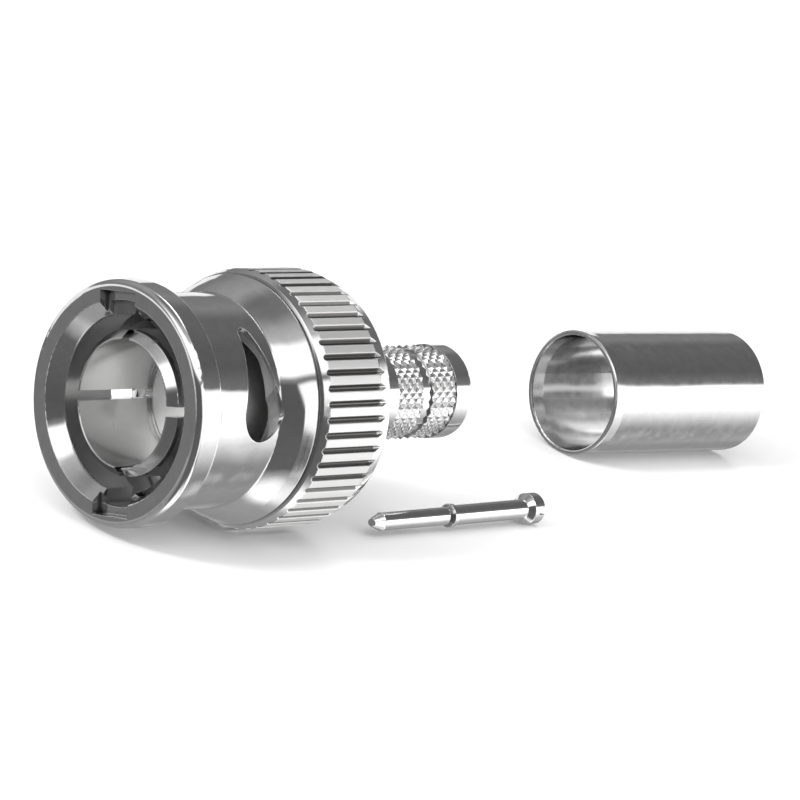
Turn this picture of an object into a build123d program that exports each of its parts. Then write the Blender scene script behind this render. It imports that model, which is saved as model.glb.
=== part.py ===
from build123d import *
import os
from math import cos, pi, radians, sin, tan

# A bayonet coaxial plug for crimping, shown as it is supplied: the plug with its
# coupling nut, and beside it the centre contact and the crimp ferrule that belong to it.
# Millimetres. The plug lies along X with its mouth towards -X and the cable behind it
# at +X. The origin is on its axis, at the mating reference plane: the front face of the
# insulator. Angles about the axis are clockwise from straight up, seen from the mouth.

# Coupling nut, from its front face backwards
nut_reach = 5.9
flange_r = 6.8
flange_width = 1.8
barrel_r = 6.0
barrel_length = 5.05
shoulder_r = 7.0
shoulder_length = 1.9
shoulder_rise_length = 0.62
shoulder_crown = 0.52
crease_width = 0.3
crease_depth = 0.22
grip_r = 7.3
grip_bevel = 0.45
grip_length = 3.95
tail_bevel = 1.2
tail_r = 6.85
grip_front_drop = 0.2
bore_r = 4.9
mouth_r = 5.6
mouth_depth = 0.8
web_thickness = 0.9

# Flutes of the nut's grip
flute_count = 52
flute_floor_width = 0.08
flute_depth = 0.2
flute_side_angle = 42.0
flute_run_out = 0.1

# Bayonet cam: two tracks inside the nut, each with a window where it holds the stud
stud_width = 2.0
stud_play = 0.3
cam_depth = 0.75
cam_entry_angle = -15.0
cam_crest_angle = 44.0
cam_hold_angle = 77.0
cam_start = 3.5
cam_rise = 2.12
hold_r = 1.38
window_tip_r = 0.42
window_tip_angle = 33.0
window_tip_lead = 0.25
lead_in_width = 2.8
lead_in_depth = 0.55
lead_in_height = 0.5

# Slotted outer contact and the body behind it
contact_r = 4.05
contact_wall = 0.55
contact_recess = 0.6
contact_bevel = 0.45
slit_count = 4
slit_width = 0.55
slit_length = 5.2
slit_angle = -13.0
collar_place = 4.8
collar_r = 4.75
collar_width = 0.7
shank_r = 3.67
shank_end = 10.3
stem_seat_r = 3.0

# Insulators and sealing ring
front_insulator_length = 4.2
rear_insulator_length = 3.2
rear_insulator_hole_r = 0.75
front_insulator_hole_r = 0.68
insulator_funnel_length = 0.6
gasket_thickness = 1.3
gasket_r = 4.75
gasket_seat_r = 3.85
insulator_seat_r = 3.3

# Coupling spring stack, from the body's collar backwards
front_washer_thickness = 0.2
wave_height = 0.5
wave_strip = 0.18
wave_count = 3
thrust_washer_thickness = 0.3
washer_r = 4.7
washer_hole_r = 3.8
wave_r = 4.6
wave_hole_r = 3.85

# Retaining ring in its groove on the shank
ring_thickness = 0.5
ring_r = 4.2
ring_groove_depth = 0.3
ring_gap_angle = 40.0
ring_pocket_r = 4.5

# Crimp stem
stem_r = 2.75
stem_bore_r = 2.35
stem_end = 19.8
stem_plain_end = 1.35
knurl_front_width = 2.1
knurl_rear_width = 1.95
knurl_gap = 0.75
knurl_gap_depth = 0.2
knurl_starts = 28
knurl_depth = 0.15
knurl_helix_angle = 45.0

# Loose centre contact
pin_r = 0.54
pin_length = 6.5
pin_nose = 0.7
pin_nose_r = 0.26
pin_relief_length = 0.3
pin_relief_depth = 0.05
pin_collar_r = 0.7
pin_collar_width = 0.35
pin_barrel_r = 0.6
pin_barrel_length = 6.2
pin_head_r = 0.93
pin_head_length = 1.25
pin_notch_width = 0.4
pin_notch_length = 0.55
pin_notch_angle = 82.0
pin_bore_r = 0.4
pin_bore_depth = 4.2

# Loose crimp ferrule
ferrule_r = 3.84
ferrule_wall = 0.34
ferrule_length = 13.8
ferrule_flare = 0.1
ferrule_flare_length = 0.9

# Where the loose pieces lie, on the surface that the nut's grip rests on
pin_tip_x = 12.4
pin_tip_y = -3.9
pin_yaw = 1.8
ferrule_front_x = 40.2
ferrule_front_y = 7.15
ferrule_yaw = -3.1

# Clearances
seat_gap = 0.02
running_gap = 0.08
end_float = 0.03

# Places worked out from the sizes above
nut_front = -nut_reach
flange_rear = nut_front + flange_width
shoulder_front = flange_rear + barrel_length
crease_front = shoulder_front + shoulder_length
grip_front = crease_front + crease_width
flute_front = grip_front + grip_bevel
grip_rear = flute_front + grip_length
nut_rear = grip_rear + tail_bevel
contact_bore_r = contact_r - contact_wall
contact_tip = nut_front + contact_recess
gasket_front = collar_place - gasket_thickness
collar_rear = collar_place + collar_width
front_wave_place = collar_rear + front_washer_thickness
rear_wave_place = front_wave_place + wave_height
thrust_place = rear_wave_place + wave_height
web_front = thrust_place + thrust_washer_thickness
web_rear = web_front + web_thickness
ring_place = web_rear + end_float
groove_r = shank_r - ring_groove_depth
cam_r = bore_r + cam_depth
stem_collar_place = front_insulator_length + rear_insulator_length
floor_z = -grip_r


def turned(*corners):
    """Turn a closed outline of (x, radius, corner rounding) about the X axis."""
    points = [(x, r) for x, r, _ in corners]
    roundings = [rounding for _, _, rounding in corners]
    outline = FilletPolyline(*points, radius=roundings, close=True)
    return revolve(make_face(outline), Axis.X)


def ring(front, length, outer_r, inner_r):
    """A plain ring whose front face is at x = front."""
    return turned(
        (front, inner_r, 0),
        (front, outer_r, 0),
        (front + length, outer_r, 0),
        (front + length, inner_r, 0),
    )


def clockwise(angle, shape):
    """Turn a shape made at the top of the plug to its place about the axis."""
    return Rot(X=angle) * shape


def hull_of_circles(first, first_r, second, second_r):
    """Two round ends joined by straight flanks."""
    ends = Pos(*first) * Circle(first_r) + Pos(*second) * Circle(second_r)
    return make_hull(ends.edges())


def above(face, low, high):
    """Raise a flat outline into a cutter between two heights over the axis."""
    return extrude(Pos(Z=low) * face, high - low)


# Coupling nut


def nut_blank():
    return turned(
        (nut_front, mouth_r, 0.05),
        (nut_front, flange_r, 0.4),
        (flange_rear, flange_r, 0.25),
        (flange_rear, barrel_r, 0.2),
        (shoulder_front, barrel_r, 0.15),
        (shoulder_front + shoulder_rise_length, shoulder_r - shoulder_crown, 4.5),
        (crease_front, shoulder_r, 0.06),
        (crease_front + crease_width / 2, shoulder_r - crease_depth, 0.05),
        (grip_front, grip_r - grip_front_drop, 0.08),
        (flute_front, grip_r, 0.25),
        (grip_rear, grip_r, 0.35),
        (nut_rear, tail_r, 0.3),
        (nut_rear, ring_pocket_r, 0.1),
        (web_rear, ring_pocket_r, 0),
        (web_rear, shank_r + running_gap, 0),
        (web_front, shank_r + running_gap, 0),
        (web_front, bore_r, 0),
        (nut_front + mouth_depth, bore_r, 0.2),
    )


def cam_track():
    """One stud track: a straight entry, a ramp and the recess that holds the stud."""
    width = stud_width + stud_play
    middle = (cam_entry_angle + cam_hold_angle) / 2
    centre_r = bore_r + cam_depth / 2

    def across(angle):
        return -centre_r * sin(radians(angle - middle))

    start = (nut_front + cam_start, across(cam_entry_angle))
    crest = (nut_front + cam_start + cam_rise, across(cam_crest_angle))
    hold = (nut_front + cam_start + cam_rise, across(cam_hold_angle))
    outline = hull_of_circles(start, width / 2, crest, width / 2)
    outline += hull_of_circles(crest, width / 2, hold, width / 2)
    outline += Pos(*hold) * Circle(hold_r)
    reach = ring(nut_front, crease_front - nut_front, cam_r, bore_r - 1)
    ramp = clockwise(middle, above(outline, 0, flange_r)) & reach
    entry = Pos(X=nut_front - 1, Z=bore_r / 2) * Box(
        cam_start + 1, width, bore_r, align=(Align.MIN, Align.CENTER, Align.MIN)
    )
    entry = clockwise(cam_entry_angle, entry) & ring(nut_front - 1, cam_start + 1, cam_r, bore_r - 1)
    pocket = Pos(X=nut_front - 1, Z=bore_r) * Box(
        1 + lead_in_depth,
        lead_in_width,
        cam_depth + lead_in_height,
        align=(Align.MIN, Align.CENTER, Align.MIN),
    )
    return [ramp, entry, clockwise(cam_entry_angle, pocket)]


def cam_window():
    """The teardrop opening through the barrel over the end of a track."""
    middle = (cam_hold_angle + window_tip_angle) / 2
    hold_x = nut_front + cam_start + cam_rise

    def across(angle):
        return -barrel_r * sin(radians(angle - middle))

    hold = (hold_x, across(cam_hold_angle))
    tip = (hold_x - window_tip_lead, across(window_tip_angle))
    outline = hull_of_circles(hold, hold_r, tip, window_tip_r)
    return clockwise(middle, above(outline, bore_r - 1, grip_r + 1))


def flute():
    """One V groove of the grip, with a round front end, running out at the rear."""
    run = nut_rear + 1 - flute_front
    bottom = Pos(X=flute_front) * Circle(flute_floor_width / 2)
    bottom += Pos(X=flute_front + run / 2) * Rectangle(run, flute_floor_width)
    return extrude(
        Pos(Z=grip_r - flute_depth) * bottom,
        flute_depth + flute_run_out,
        taper=-flute_side_angle,
    )


def coupling_nut():
    nut = nut_blank()
    for half_turn in (0, 180):
        for cutter in (*cam_track(), cam_window()):
            nut -= clockwise(half_turn, cutter)
    step = 360 / flute_count
    return nut - [clockwise(step * (number + 0.5), flute()) for number in range(flute_count)]


# Body


def contact_body():
    """Slotted outer contact, collar and shank, turned from one bar."""
    body = turned(
        (contact_tip, contact_bore_r, 0.05),
        (contact_tip, contact_r - contact_bevel, 0.04),
        (contact_tip + contact_bevel, contact_r, 0.1),
        (gasket_front, contact_r, 0),
        (gasket_front, gasket_seat_r, 0),
        (collar_place, gasket_seat_r, 0),
        (collar_place, collar_r, 0.05),
        (collar_rear, collar_r, 0.05),
        (collar_rear, shank_r, 0),
        (ring_place, shank_r, 0),
        (ring_place, groove_r, 0),
        (ring_place + ring_thickness + end_float, groove_r, 0),
        (ring_place + ring_thickness + end_float, shank_r, 0),
        (shank_end, shank_r, 0.3),
        (shank_end, stem_seat_r, 0),
        (front_insulator_length, stem_seat_r, 0),
        (front_insulator_length, insulator_seat_r, 0),
        (0, insulator_seat_r, 0),
        (0, contact_bore_r, 0),
    )
    body = clockwise(slit_angle + 180 / slit_count, body)
    slit_rear = contact_tip + slit_length
    slit = Pos(X=slit_rear) * Circle(slit_width / 2)
    slit += Pos(X=slit_rear - slit_length / 2 - 0.5) * Rectangle(slit_length + 1, slit_width)
    cutter = above(slit, contact_bore_r - 1, contact_r + 1)
    for number in range(slit_count):
        body -= clockwise(slit_angle + 360 / slit_count * number, cutter)
    return body


def front_insulator():
    return turned(
        (0, front_insulator_hole_r, 0.1),
        (0, insulator_seat_r - seat_gap, 0.08),
        (front_insulator_length, insulator_seat_r - seat_gap, 0),
        (front_insulator_length, rear_insulator_hole_r, 0),
        (front_insulator_length - insulator_funnel_length, front_insulator_hole_r, 0),
    )


def rear_insulator():
    return ring(
        front_insulator_length,
        rear_insulator_length,
        stem_seat_r - seat_gap,
        rear_insulator_hole_r,
    )


def mating_gasket():
    return turned(
        (gasket_front, gasket_seat_r + seat_gap, 0),
        (gasket_front, gasket_r, 0.2),
        (collar_place, gasket_r, 0.1),
        (collar_place, gasket_seat_r + seat_gap, 0),
    )


# Coupling spring stack


def wave_spring(place, phase):
    """A flat strip closed into a ring, waved between its two neighbours."""
    height = (wave_height - wave_strip) / 2 - end_float / 2
    middle = place + (wave_height - wave_strip) / 2

    def wavy_circle(radius):
        steps = 12 * wave_count
        points = []
        for number in range(steps):
            turn = 2 * pi * number / steps
            lift = height * cos(wave_count * turn + phase)
            points.append((middle + lift, radius * cos(turn), radius * sin(turn)))
        return Spline(*points, periodic=True)

    surface = Face.make_surface_from_curves(wavy_circle(wave_hole_r), wavy_circle(wave_r))
    return Solid.extrude(surface, Vector(wave_strip, 0, 0))


def retaining_ring():
    whole = ring(ring_place + end_float / 2, ring_thickness, ring_r, groove_r + seat_gap)
    reach = 2 * ring_r
    half_gap = radians(ring_gap_angle / 2)
    wedge = make_face(
        Polyline((0, 0), (reach, reach * tan(half_gap)), (reach, -reach * tan(half_gap)), close=True)
    )
    opening = Plane.YZ.offset(ring_place - 1) * wedge
    return whole - extrude(opening, ring_thickness + 2)


# Crimp stem


def knurl(front, width):
    """A diamond knurl: two opposite helical toothings cut through each other."""
    teeth = []
    for number in range(knurl_starts):
        for part, radius in ((0, stem_r - knurl_depth), (0.5, stem_r)):
            turn = 2 * pi * (number + part) / knurl_starts
            teeth.append((radius * cos(turn), radius * sin(turn)))
    section = Plane.YZ.offset(front) * make_face(Polyline(*teeth, close=True))
    twist = width / stem_r * tan(radians(knurl_helix_angle)) * 180 / pi
    spirals = [
        Solid.extrude_linear_with_rotation(
            section.face(), Vector(front, 0, 0), Vector(width, 0, 0), angle
        )
        for angle in (twist, -twist)
    ]
    return spirals[0] & spirals[1]


def crimp_stem():
    rear_knurl = stem_end - stem_plain_end - knurl_rear_width
    front_knurl = rear_knurl - knurl_gap - knurl_front_width
    gap_r = stem_r - knurl_gap_depth
    core = turned(
        (stem_collar_place, stem_bore_r, 0),
        (stem_collar_place, stem_seat_r - seat_gap, 0),
        (shank_end, stem_seat_r - seat_gap, 0),
        (shank_end, stem_r, 0),
        (front_knurl, stem_r, 0),
        (front_knurl, gap_r, 0),
        (stem_end - stem_plain_end, gap_r, 0),
        (stem_end - stem_plain_end, stem_r, 0),
        (stem_end, stem_r, 0.25),
        (stem_end, stem_bore_r, 0),
    )
    bore = Pos(X=front_knurl) * Rot(Y=90) * Cylinder(
        stem_bore_r, stem_end - front_knurl, align=(Align.CENTER, Align.CENTER, Align.MIN)
    )
    bands = [knurl(front_knurl, knurl_front_width), knurl(rear_knurl, knurl_rear_width)]
    return core + [band - bore for band in bands]


# Loose pieces


def center_contact():
    """Tip, stop collar, crimp barrel and flared head, made with the tip at the origin."""
    barrel_front = pin_length + pin_collar_width
    head_front = barrel_front + pin_barrel_length
    end = head_front + pin_head_length
    pin = turned(
        (0, 0, 0),
        (0, pin_nose_r, 0.08),
        (pin_nose, pin_r, 0.2),
        (pin_length - pin_relief_length, pin_r, 0),
        (pin_length, pin_r - pin_relief_depth, 0),
        (pin_length, pin_collar_r, 0.05),
        (barrel_front, pin_collar_r, 0.05),
        (barrel_front, pin_barrel_r, 0),
        (head_front, pin_barrel_r, 0.1),
        (head_front + 0.35, pin_head_r, 0.1),
        (end, pin_head_r, 0.15),
        (end, pin_bore_r, 0.05),
        (end - pin_bore_depth, pin_bore_r, 0),
        (end - pin_bore_depth, 0, 0),
    )
    notch = Pos(X=end - pin_notch_length, Z=pin_bore_r / 2) * Box(
        pin_notch_length + 1,
        pin_notch_width,
        pin_head_r,
        align=(Align.MIN, Align.CENTER, Align.MIN),
    )
    pin -= clockwise(pin_notch_angle, notch)
    return Pos(pin_tip_x, pin_tip_y, floor_z + pin_head_r) * Rot(Z=pin_yaw) * pin


def crimp_ferrule():
    """A thin drawn tube with a slightly flared front, made with its front at the origin."""
    inner_r = ferrule_r - ferrule_wall
    tube = turned(
        (0, inner_r + ferrule_flare, 0.1),
        (0, ferrule_r + ferrule_flare, 0.1),
        (ferrule_flare_length, ferrule_r, 0.5),
        (ferrule_length, ferrule_r, 0.2),
        (ferrule_length, inner_r, 0.1),
        (ferrule_flare_length, inner_r, 0.5),
    )
    lift = floor_z + ferrule_r + ferrule_flare
    return Pos(ferrule_front_x, ferrule_front_y, lift) * Rot(Z=ferrule_yaw) * tube


parts = {
    "coupling_nut": coupling_nut(),
    "contact_body": contact_body(),
    "crimp_stem": crimp_stem(),
    "front_insulator": front_insulator(),
    "rear_insulator": rear_insulator(),
    "mating_gasket": mating_gasket(),
    "front_washer": ring(collar_rear, front_washer_thickness, washer_r, washer_hole_r),
    "wave_spring_front": wave_spring(front_wave_place, 0),
    "wave_spring_rear": wave_spring(rear_wave_place, pi),
    "thrust_washer": ring(thrust_place, thrust_washer_thickness, washer_r, washer_hole_r),
    "retaining_ring": retaining_ring(),
    "center_contact": center_contact(),
    "crimp_ferrule": crimp_ferrule(),
}

os.makedirs("parts", exist_ok=True)
for name, shape in parts.items():
    shape.label = name
    export_step(shape, f"parts/{name}.step")
    print(name, len(shape.solids()), round(shape.volume, 3))
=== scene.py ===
import bpy
from math import cos, pi, radians, sin
from mathutils import Matrix, Vector


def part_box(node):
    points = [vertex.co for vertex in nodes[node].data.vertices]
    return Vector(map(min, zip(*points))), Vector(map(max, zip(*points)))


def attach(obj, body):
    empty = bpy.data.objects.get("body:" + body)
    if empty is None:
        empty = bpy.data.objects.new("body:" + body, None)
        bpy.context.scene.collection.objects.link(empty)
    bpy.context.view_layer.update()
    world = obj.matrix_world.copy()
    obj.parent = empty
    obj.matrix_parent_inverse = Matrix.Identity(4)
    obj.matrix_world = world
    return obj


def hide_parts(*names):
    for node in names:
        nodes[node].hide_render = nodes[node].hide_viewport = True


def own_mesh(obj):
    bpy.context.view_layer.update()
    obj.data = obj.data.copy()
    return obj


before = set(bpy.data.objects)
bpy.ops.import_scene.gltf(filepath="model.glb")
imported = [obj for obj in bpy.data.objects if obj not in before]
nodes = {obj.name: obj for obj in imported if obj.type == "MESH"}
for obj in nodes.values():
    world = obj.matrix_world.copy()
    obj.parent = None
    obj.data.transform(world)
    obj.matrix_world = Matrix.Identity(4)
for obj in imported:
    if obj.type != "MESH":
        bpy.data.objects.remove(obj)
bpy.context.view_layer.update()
scene = bpy.context.scene
scene.view_settings.view_transform = "Standard"

# The photograph's camera: lens and sensor in millimetres, place and clipping in metres
LENS, SENSOR = 207, 36
CLIP_START, CLIP_END = 0.005, 50
CAMERA_PLACE = (-0.17484, -0.17191, 0.06819)
CAMERA_RIGHT = (0.694346, -0.683082, 0.226455)
CAMERA_UP = (0.029987, 0.341867, 0.939270)
CAMERA_BACK = (-0.719016, -0.645387, 0.257857)

# The studio's directions. The turned pieces lie along X, so each of them shows one band of
# the studio by its height, and the height is tilted back by 20 degrees as the view is.
HEIGHT_WAY = (0, 0.342, 0.940)
NEAR_WAY = (0, -0.940, 0.342)
ALONG_WAY = (1, 0, 0)
UP_WAY = (0, 0, 1)

# The studio's greys as (height, grey), on the side of the cable, of the camera and beyond the object
CABLE_SIDE = [
    (-1.0, 1.40),
    (-0.77, 1.60),
    (-0.72, 0.30),
    (-0.69, 0.32),
    (-0.56, 0.85),
    (-0.40, 1.40),
    (-0.25, 1.90),
    (0.07, 2.10),
    (0.14, 0.20),
    (0.40, 0.12),
    (0.60, 0.13),
    (0.79, 0.16),
    (0.83, 2.80),
    (0.96, 2.80),
    (1.0, 1.20),
]
CAMERA_SIDE = [
    (-1.0, 1.70),
    (-0.975, 1.20),
    (-0.93, 0.45),
    (-0.88, 0.14),
    (-0.10, 0.11),
    (0.20, 0.12),
    (0.27, 0.30),
    (0.34, 1.50),
    (0.68, 1.60),
    (0.76, 0.60),
    (0.88, 0.42),
    (0.95, 0.22),
    (1.0, 0.18),
]
FAR_SIDE = [
    (-1.0, 0.40),
    (-0.45, 0.30),
    (-0.25, 0.42),
    (-0.12, 0.22),
    (0.05, 0.18),
    (0.20, 0.16),
    (0.60, 0.24),
    (1.0, 0.40),
]
WHITE_PANEL = (1.3, 1.3, 1.3, 1)
WHITE_HORIZON = (1, 1, 1, 1)

# Colours of the metal where it is rubbed, painted lighter as sheen on the grip's lands, and painted
# dark as shade in crevices and flutes
RUBBED = (0.88, 0.87, 0.86, 1)
PAINTED_LAND_SHEEN = (0.95, 0.945, 0.94, 1)
PAINTED_SHADE_GREY = (0.10, 0.098, 0.094, 1)

# Where the loose pieces lie: place across in metres, turn in degrees
PIN_Y, PIN_YAW = -0.0039, 1.8
FERRULE_X, FERRULE_Y, FERRULE_YAW = 0.0402, 0.00715, -3.1

# The nut's grip in millimetres: its flutes' length and the bevel behind them
GRIP_LENGTH, TAIL_BEVEL = 3.95, 1.2

# Zones that no one polishes: least radius, largest radius and front in millimetres, and how
# much rougher the metal is there
NUT_BORE = (0, 5.8, -5.1, 0.3)
CONTACT_BORE = (0, 3.56, -5.3, 0.15)
CONTACT_OUTSIDE = (3.95, 4.8, -4.6, 0.4)
FERRULE_BORE = (0, 3.6, 0, 0.02)


def place_camera():
    data = bpy.data.cameras.new("camera")
    data.lens = LENS
    data.sensor_width = SENSOR
    data.clip_start = CLIP_START
    data.clip_end = CLIP_END
    camera = bpy.data.objects.new("camera", data)
    turn = Matrix((CAMERA_RIGHT, CAMERA_UP, CAMERA_BACK)).transposed().to_4x4()
    camera.matrix_world = Matrix.Translation(CAMERA_PLACE) @ turn
    scene.collection.objects.link(camera)
    scene.camera = camera


class Tree:
    """A node tree with short ways to add and join nodes."""

    def __init__(self, tree):
        self.tree = tree

    def add(self, kind, operation=None, **settings):
        node = self.tree.nodes.new("ShaderNode" + kind)
        if operation:
            node.operation = operation
        for key, value in settings.items():
            setattr(node, key, value)
        return node

    def put(self, source, socket):
        if isinstance(source, bpy.types.NodeSocket):
            self.tree.links.new(source, socket)
        else:
            socket.default_value = source

    def math(self, operation, a, b=0.0, c=0.0):
        node = self.add("Math", operation)
        for source, socket in zip((a, b, c), node.inputs):
            self.put(source, socket)
        return node.outputs[0]

    def multiply(self, a, b):
        return self.math("MULTIPLY", a, b)

    def vector(self, operation, a, b=(0, 0, 0)):
        node = self.add("VectorMath", operation)
        self.put(a, node.inputs[0])
        self.put(b, node.inputs[1])
        return node.outputs["Value"] if operation in ("DOT_PRODUCT", "LENGTH") else node.outputs[0]

    def ease(self, value, low, high, start=0.0, end=1.0):
        """Goes smoothly from start to end while the value goes from low to high."""
        node = self.add("MapRange", interpolation_type="SMOOTHSTEP")
        inputs = {"Value": value, "From Min": low, "From Max": high, "To Min": start, "To Max": end}
        for key, source in inputs.items():
            self.put(source, node.inputs[key])
        return node.outputs["Result"]

    def band(self, value, low, high, soft=0.02):
        """1 between low and high, 0 outside."""
        rise = self.ease(value, low - soft, low + soft)
        fall = self.ease(value, high + soft, high - soft)
        return self.multiply(rise, fall)

    def ramp(self, value, stops):
        """Greys over a value from -1 to 1, given as (value, grey)."""
        node = self.add("ValToRGB")
        elements = node.color_ramp.elements
        while len(elements) < len(stops):
            elements.new(0.5)
        for element, (place, grey) in zip(elements, stops):
            element.position = (place + 1) / 2
            element.color = (grey, grey, grey, 1)
        self.put(self.math("MULTIPLY_ADD", value, 0.5, 0.5), node.inputs["Fac"])
        return node.outputs["Color"]

    def mix(self, share, a, b):
        node = self.add("Mix", data_type="RGBA")
        self.put(share, node.inputs["Factor"])
        self.put(a, node.inputs["A"])
        self.put(b, node.inputs["B"])
        return node.outputs["Result"]

    def noise(self, vector, scale, detail=2.0, roughness=0.5):
        node = self.add("TexNoise")
        self.put(vector, node.inputs["Vector"])
        node.inputs["Scale"].default_value = scale
        node.inputs["Detail"].default_value = detail
        node.inputs["Roughness"].default_value = roughness
        return node.outputs["Fac"]

    def line_noise(self, value, scale, detail=2.0):
        node = self.add("TexNoise", noise_dimensions="1D")
        self.put(value, node.inputs["W"])
        node.inputs["Scale"].default_value = scale
        node.inputs["Detail"].default_value = detail
        return node.outputs["Fac"]

    def bump(self, height, distance, normal=None):
        node = self.add("Bump")
        node.inputs["Strength"].default_value = 1
        node.inputs["Distance"].default_value = distance
        self.put(height, node.inputs["Height"])
        if normal is not None:
            self.put(normal, node.inputs["Normal"])
        return node.outputs["Normal"]


# Light and stage

def studio_world():
    """Soft white areas and dark screens, with a tall white panel at the camera's side."""
    world = bpy.data.worlds.new("studio")
    world.use_nodes = True
    world.node_tree.nodes.clear()
    t = Tree(world.node_tree)
    direction = t.add("TexCoord").outputs["Generated"]
    height = t.vector("DOT_PRODUCT", direction, HEIGHT_WAY)
    near = t.vector("DOT_PRODUCT", direction, NEAR_WAY)
    along = t.vector("DOT_PRODUCT", direction, ALONG_WAY)
    level = t.math("ABSOLUTE", t.vector("DOT_PRODUCT", direction, UP_WAY))
    cable_side = t.ramp(height, CABLE_SIDE)
    camera_side = t.ramp(height, CAMERA_SIDE)
    far_side = t.ramp(height, FAR_SIDE)

    panel = t.ease(t.math("MULTIPLY_ADD", height, 0.25, along), -0.11, -0.06)
    panel = t.multiply(panel, t.ease(height, 0.24, 0.18))
    panel = t.multiply(panel, t.ease(height, -0.95, -0.88))
    camera_side = t.mix(panel, camera_side, WHITE_PANEL)

    horizon = t.ease(level, 0.16, 0.11)
    cable_side = t.mix(horizon, cable_side, WHITE_PANEL)
    far_side = t.mix(horizon, far_side, WHITE_HORIZON)

    shade = t.mix(t.ease(along, 0.30, 0.42), camera_side, cable_side)
    shade = t.mix(t.ease(near, -0.05, -0.35), shade, far_side)
    background = t.add("Background")
    out = t.add("OutputWorld")
    t.put(shade, background.inputs["Color"])
    t.put(background.outputs[0], out.inputs["Surface"])
    scene.world = world


def place_lamp(data, towards, place=(0, 0, 0)):
    """A lamp that shines from the side of towards and doesn't show in the metal."""
    lamp = bpy.data.objects.new(data.name, data)
    lamp.location = place
    lamp.rotation_euler = Vector(towards).to_track_quat("Z", "Y").to_euler()
    lamp.visible_glossy = False
    scene.collection.objects.link(lamp)


def key_light():
    """A very wide soft sun overhead."""
    data = bpy.data.lights.new("key", "SUN")
    data.energy = 1.5
    data.angle = radians(130)
    place_lamp(data, (-0.15, -0.12, 1))


def fill_light():
    """A soft lamp over the plug's mouth, which lights the insulator at the bottom of the socket."""
    data = bpy.data.lights.new("fill", "AREA")
    data.energy = 1.0
    data.size = 0.10
    place = (-0.37, 0.03, 0.30)
    place_lamp(data, place, place)


def stage_piece(name, verts, faces):
    """A piece of the stage with a plain material, which doesn't show in the metal."""
    mesh = bpy.data.meshes.new(name)
    mesh.from_pydata(verts, [], faces)
    piece = bpy.data.objects.new(name, mesh)
    scene.collection.objects.link(piece)
    material = bpy.data.materials.new(name)
    material.use_nodes = True
    mesh.materials.append(material)
    piece.visible_glossy = False
    return piece, material.node_tree.nodes["Principled BSDF"]


def floor():
    """A pale matt floor under the nut's grip."""
    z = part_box("coupling_nut")[0].z
    reach, steps = 4, 8
    marks = [reach * (2 * i / steps - 1) for i in range(steps + 1)]
    verts = [(x, y, z) for x in marks for y in marks]
    faces = []
    for i in range(steps):
        for j in range(steps):
            a = i * (steps + 1) + j
            faces.append((a, a + steps + 1, a + steps + 2, a + 1))
    _, shader = stage_piece("floor", verts, faces)
    shader.inputs["Base Color"].default_value = (0.94, 0.94, 0.94, 1)
    shader.inputs["Roughness"].default_value = 0.9
    shader.inputs["Specular IOR Level"].default_value = 0


def backdrop():
    """A white wall round the floor for views from low down. Only the camera sees it."""
    reach, low, high, steps = 2.4, -0.5, 2.0, 64
    verts, faces = [], []
    for i in range(steps):
        turn = 2 * pi * i / steps
        verts += [(reach * cos(turn), reach * sin(turn), z) for z in (low, high)]
        a, b = 2 * i, 2 * ((i + 1) % steps)
        faces.append((a, b, b + 1, a + 1))
    piece, shader = stage_piece("backdrop", verts, faces)
    shader.inputs["Base Color"].default_value = (0, 0, 0, 1)
    shader.inputs["Specular IOR Level"].default_value = 0
    shader.inputs["Emission Color"].default_value = (1, 1, 1, 1)
    shader.inputs["Emission Strength"].default_value = 1
    piece.visible_diffuse = False
    piece.visible_transmission = False
    piece.visible_shadow = False


# Materials

def new_material(name):
    material = bpy.data.materials.new(name)
    material.use_nodes = True
    return material, Tree(material.node_tree), material.node_tree.nodes["Principled BSDF"]


def turned_place(t, place=(0, 0, 0), yaw=0.0):
    """The point in millimetres from a piece's own front, its place along the axis and its radius."""
    mapping = t.add("Mapping", vector_type="TEXTURE")
    mapping.inputs["Location"].default_value = place
    mapping.inputs["Rotation"].default_value = (0, 0, radians(yaw))
    mapping.inputs["Scale"].default_value = (0.001, 0.001, 0.001)
    t.put(t.add("TexCoord").outputs["Object"], mapping.inputs["Vector"])
    point = mapping.outputs["Vector"]
    along = t.vector("DOT_PRODUCT", point, (1, 0, 0))
    radius = t.vector("LENGTH", t.vector("MULTIPLY", point, (0, 1, 1)))
    return point, along, radius


def grey(value):
    return (value, value, value, 1)


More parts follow.
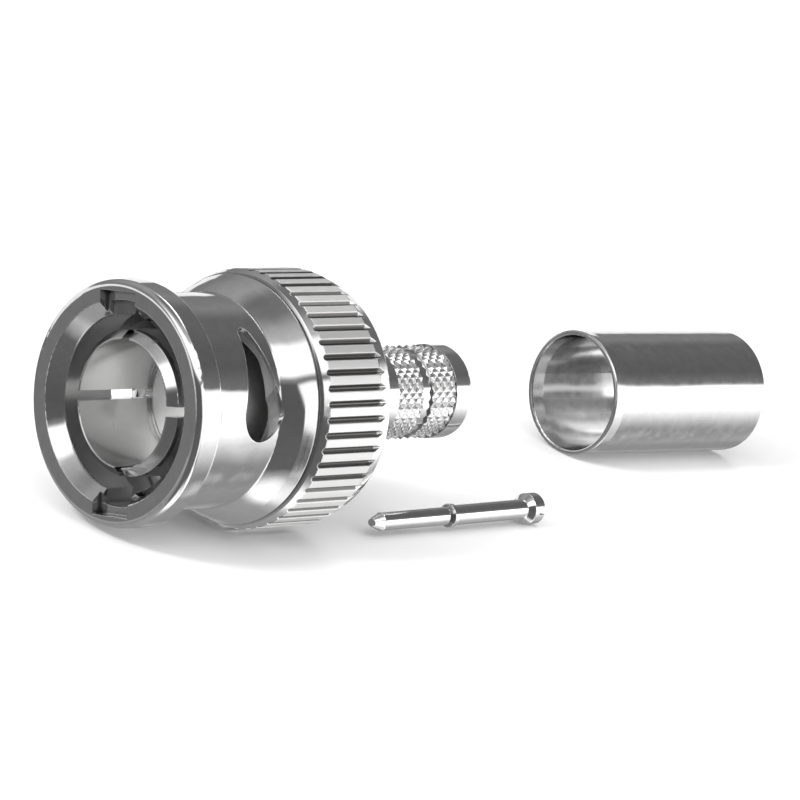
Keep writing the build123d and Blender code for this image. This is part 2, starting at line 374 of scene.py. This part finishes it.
def nickel(
    name, base, roughness, waviness, turning,
    grain=0.0, crevice=0.5, place=(0, 0, 0), yaw=0.0, rounding=0.00004, as_turned=(), grip=None,
):
    """Plated metal: turning rings, a wavy polish, painted shade in the crevices and rubbed edges.

    waviness, turning, grain and rounding are in metres, and crevice is the share of painted shade.
    as_turned lists the zones that no one polishes. grip is the radius of a fluted grip, its front
    and its rear in millimetres: its lands are satin and painted lighter as sheen, and its flutes are
    painted dark as shade.
    """
    material, t, shader = new_material(name)
    point, along, radius = turned_place(t, place, yaw)
    swell = t.noise(point, 0.42, 1.0, 0.4)
    cloud = t.noise(point, 1.6, 3.0, 0.6)
    rings = t.line_noise(t.math("ADD", along, radius), 26.0, 3.0)
    bevel = t.add("Bevel", samples=4)
    bevel.inputs["Radius"].default_value = rounding
    rounded = bevel.outputs[0]
    normal = t.bump(swell, waviness, rounded)
    normal = t.bump(rings, turning, normal)
    if grain:
        normal = t.bump(t.noise(point, 14.0, 3.0, 0.6), grain, normal)
    t.put(normal, shader.inputs["Normal"])

    # Painted shade: where ambient occlusion finds crevices and corners, the colour darkens towards a
    # near-black grey and the metal gets rougher.
    occlusion = t.add("AmbientOcclusion", samples=6, only_local=True)
    occlusion.inputs["Distance"].default_value = 0.0004
    painted_shade = t.ease(occlusion.outputs["AO"], 0.82, 0.50, 0.0, crevice)
    straight = t.add("NewGeometry").outputs["Normal"]
    edge = t.ease(t.vector("DOT_PRODUCT", rounded, straight), 0.995, 0.93)

    colour = t.mix(t.ease(cloud, 0.3, 0.7), grey(base * 0.96), grey(base * 1.02))
    colour = t.mix(t.multiply(edge, 0.5), colour, RUBBED)
    if grip:
        grip_r, grip_front, grip_rear = grip
        fluted = t.band(along, grip_front, grip_rear)
        land = t.multiply(fluted, t.ease(radius, grip_r - 0.06, grip_r - 0.01))
        flute = t.multiply(fluted, t.ease(radius, grip_r - 0.01, grip_r - 0.08))
        # Painted sheen: the grip's lands get a lighter grey than the rest of the nut; their added
        # roughness further down is a satin finish.
        colour = t.mix(land, colour, PAINTED_LAND_SHEEN)
        # Painted shade: the grip's flutes take the dark shade grey too.
        painted_shade = t.math("MAXIMUM", painted_shade, t.multiply(flute, 0.9))
    colour = t.mix(painted_shade, colour, PAINTED_SHADE_GREY)
    t.put(colour, shader.inputs["Base Color"])

    spread = t.ease(cloud, 0.25, 0.75, roughness * 0.8, roughness * 1.25)
    spread = t.math("ADD", spread, t.ease(rings, 0.45, 0.8, 0.0, 0.03))
    spread = t.math("MULTIPLY_ADD", painted_shade, 0.25, spread)
    spread = t.math("MULTIPLY_ADD", edge, 0.05, spread)
    for least_r, largest_r, front_x, rougher in as_turned:
        zone = t.multiply(t.band(radius, least_r, largest_r), t.ease(along, front_x, front_x + 0.1))
        spread = t.math("MULTIPLY_ADD", zone, rougher, spread)
    if grip:
        spread = t.math("MULTIPLY_ADD", land, 0.44, spread)
    t.put(spread, shader.inputs["Roughness"])
    shader.inputs["Metallic"].default_value = 1
    return material


def fluoroplastic():
    """The insulators: white, slightly waxy, with faint turning rings."""
    material, t, shader = new_material("fluoroplastic")
    point, along, radius = turned_place(t)
    cloud = t.noise(point, 1.2, 3.0, 0.6)
    rings = t.line_noise(t.math("ADD", along, radius), 30.0, 2.0)
    t.put(t.mix(cloud, (0.86, 0.855, 0.84, 1), (0.93, 0.93, 0.925, 1)), shader.inputs["Base Color"])
    t.put(t.ease(rings, 0.3, 0.7, 0.38, 0.52), shader.inputs["Roughness"])
    t.put(t.bump(rings, 0.000004), shader.inputs["Normal"])
    shader.inputs["Subsurface Weight"].default_value = 0.15
    shader.inputs["Subsurface Radius"].default_value = (0.0006, 0.0006, 0.0006)
    shader.inputs["Subsurface Scale"].default_value = 1
    return material


def silicone():
    """The sealing ring: pale grey, soft sheen, a moulded grain and a little dust."""
    material, t, shader = new_material("silicone")
    point = turned_place(t)[0]
    cloud = t.noise(point, 0.9, 3.0, 0.6)
    grain = t.noise(point, 12.0, 3.0, 0.6)
    t.put(t.mix(cloud, (0.62, 0.615, 0.60, 1), (0.74, 0.735, 0.72, 1)), shader.inputs["Base Color"])
    t.put(t.ease(grain, 0.3, 0.7, 0.5, 0.68), shader.inputs["Roughness"])
    t.put(t.bump(grain, 0.00001), shader.inputs["Normal"])
    return material


def spring_strip():
    """The washers, the wave springs and the retaining ring: plated strip with a brushed grain."""
    material, t, shader = new_material("spring_strip")
    point = turned_place(t)[0]
    grain = t.noise(t.vector("MULTIPLY", point, (9, 1.5, 1.5)), 5.0, 3.0, 0.7)
    cloud = t.noise(point, 1.4, 2.0, 0.5)
    t.put(t.mix(cloud, (0.54, 0.535, 0.52, 1), (0.66, 0.655, 0.64, 1)), shader.inputs["Base Color"])
    t.put(t.ease(grain, 0.3, 0.7, 0.22, 0.38), shader.inputs["Roughness"])
    t.put(t.bump(grain, 0.000004), shader.inputs["Normal"])
    shader.inputs["Metallic"].default_value = 1
    return material


def dress(material, *names):
    for name in names:
        mesh = nodes[name].data
        mesh.materials.clear()
        mesh.materials.append(material)


def dress_nodes():
    nut_low, nut_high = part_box("coupling_nut")
    pin_low, pin_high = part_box("center_contact")
    tube_low, tube_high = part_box("crimp_ferrule")
    grip_r = -nut_low.z * 1000
    grip_rear = nut_high.x * 1000 - TAIL_BEVEL
    nut = nickel(
        "nickel_nut", base=0.80, roughness=0.06, waviness=0.00004, turning=0.0000003,
        crevice=0.93, rounding=0.00007, as_turned=[NUT_BORE],
        grip=(grip_r, grip_rear - GRIP_LENGTH, grip_rear),
    )
    body = nickel(
        "nickel_body", base=0.80, roughness=0.08, waviness=0.00003, turning=0.0000004,
        crevice=0.3, as_turned=[CONTACT_BORE, CONTACT_OUTSIDE],
    )
    stem = nickel(
        "nickel_stem", base=0.92, roughness=0.05, waviness=0.00002, turning=0.0000003,
        grain=0.000002, crevice=0.55,
    )
    contact = nickel(
        "nickel_contact", base=0.84, roughness=0.07, waviness=0.00001, turning=0.0000003,
        grain=0.0000015, crevice=0.4,
        place=(pin_low.x, PIN_Y, (pin_low.z + pin_high.z) / 2), yaw=PIN_YAW,
    )
    ferrule = nickel(
        "nickel_ferrule", base=0.82, roughness=0.13, waviness=0.00003, turning=0.0000002,
        grain=0.0000003, crevice=0.3,
        place=(FERRULE_X, FERRULE_Y, (tube_low.z + tube_high.z) / 2), yaw=FERRULE_YAW,
        as_turned=[FERRULE_BORE],
    )
    dress(nut, "coupling_nut")
    dress(body, "contact_body")
    dress(stem, "crimp_stem")
    dress(contact, "center_contact")
    dress(ferrule, "crimp_ferrule")
    dress(fluoroplastic(), "front_insulator", "rear_insulator")
    dress(silicone(), "mating_gasket")
    dress(
        spring_strip(),
        "front_washer", "wave_spring_front", "wave_spring_rear", "thrust_washer", "retaining_ring",
    )


def flattening_springs():
    """Copies of the CAD's wave springs in their place, each with its own mesh and attached to the
    plug body.
    """
    for end in ("front", "rear"):
        node = "wave_spring_" + end
        spring = bpy.data.objects.new("sprung_ring_" + end, nodes[node].data.copy())
        scene.collection.objects.link(spring)
        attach(spring, "plug_body")
        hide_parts(node)
        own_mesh(spring)


place_camera()
studio_world()
key_light()
fill_light()
floor()
backdrop()
dress_nodes()
flattening_springs()
